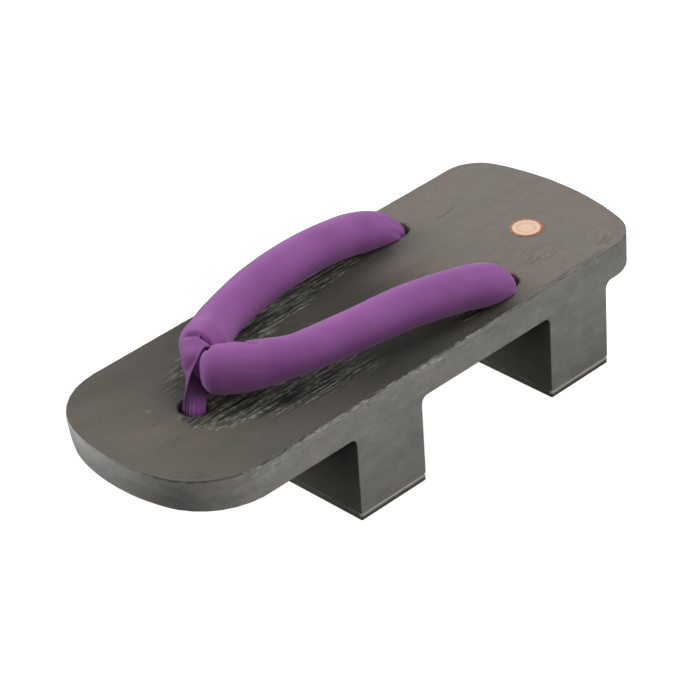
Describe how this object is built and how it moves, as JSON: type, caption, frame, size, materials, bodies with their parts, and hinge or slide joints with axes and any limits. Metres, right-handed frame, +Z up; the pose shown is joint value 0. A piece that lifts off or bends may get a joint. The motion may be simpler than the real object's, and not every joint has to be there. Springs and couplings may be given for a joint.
{
  "type": "geta",
  "caption": "Wooden clog sandal: flat deck carved with teeth from one block, padded cloth thong straps joined at a toe loop.",
  "frame": {"origin": "bottom centre of the bounding box, on the floor under the middle of the platform", "axes": "+X is the width, towards the near side in the picture, +Y runs from toe to heel, +Z up from the floor"},
  "size_m": [0.09, 0.246, 0.0769],
  "materials": {
    "dark_wood": "burnt and brushed, matt",
    "front_rubber": "matt",
    "rear_rubber": "matt",
    "strap_cloth": "fine matt weave",
    "loop_cloth": "fine matt weave",
    "label_paper": "printed paper"
  },
  "bodies": {
    "root": {"platform": "dark_wood", "front_tooth_pad": "front_rubber", "rear_tooth_pad": "rear_rubber", "thong_straps": "strap_cloth", "toe_loop": "loop_cloth"}
  },
  "joints": []
}
